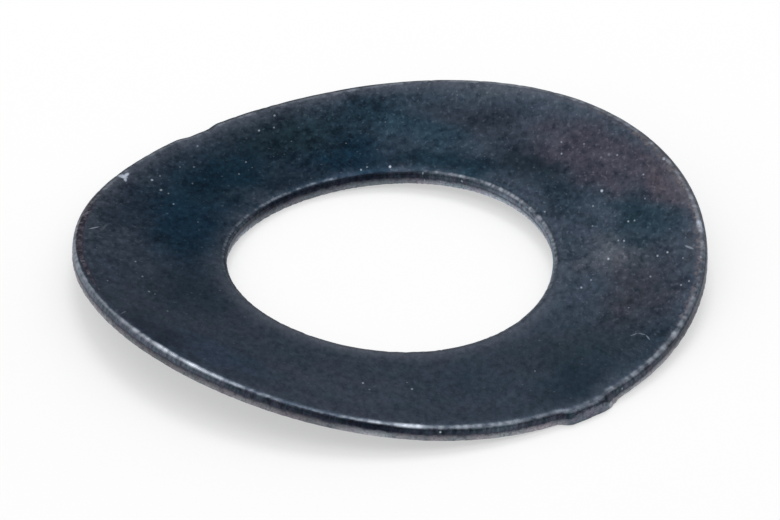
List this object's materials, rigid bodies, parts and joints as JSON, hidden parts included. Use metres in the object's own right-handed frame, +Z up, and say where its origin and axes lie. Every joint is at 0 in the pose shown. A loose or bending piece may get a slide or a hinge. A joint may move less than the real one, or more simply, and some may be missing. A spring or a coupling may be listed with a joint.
{
  "type": "curved spring washer",
  "caption": "Single-arc curved spring washer punched from blackened spring steel strip, with a plain clearance bore.",
  "frame": {"origin": "on the surface the washer stands on, under the centre of the bore", "axes": "+Z up along the bore axis towards the hollow side, +Y along the crease line the washer is bent about, +X across the arc"},
  "size_m": [0.0198, 0.0202, 0.0018],
  "materials": {
    "blackened_steel": "blue-black heat-treated oxide on spring steel, satin, with lighter worn edges"
  },
  "bodies": {
    "root": {"washer": "blackened_steel"}
  },
  "joints": []
}
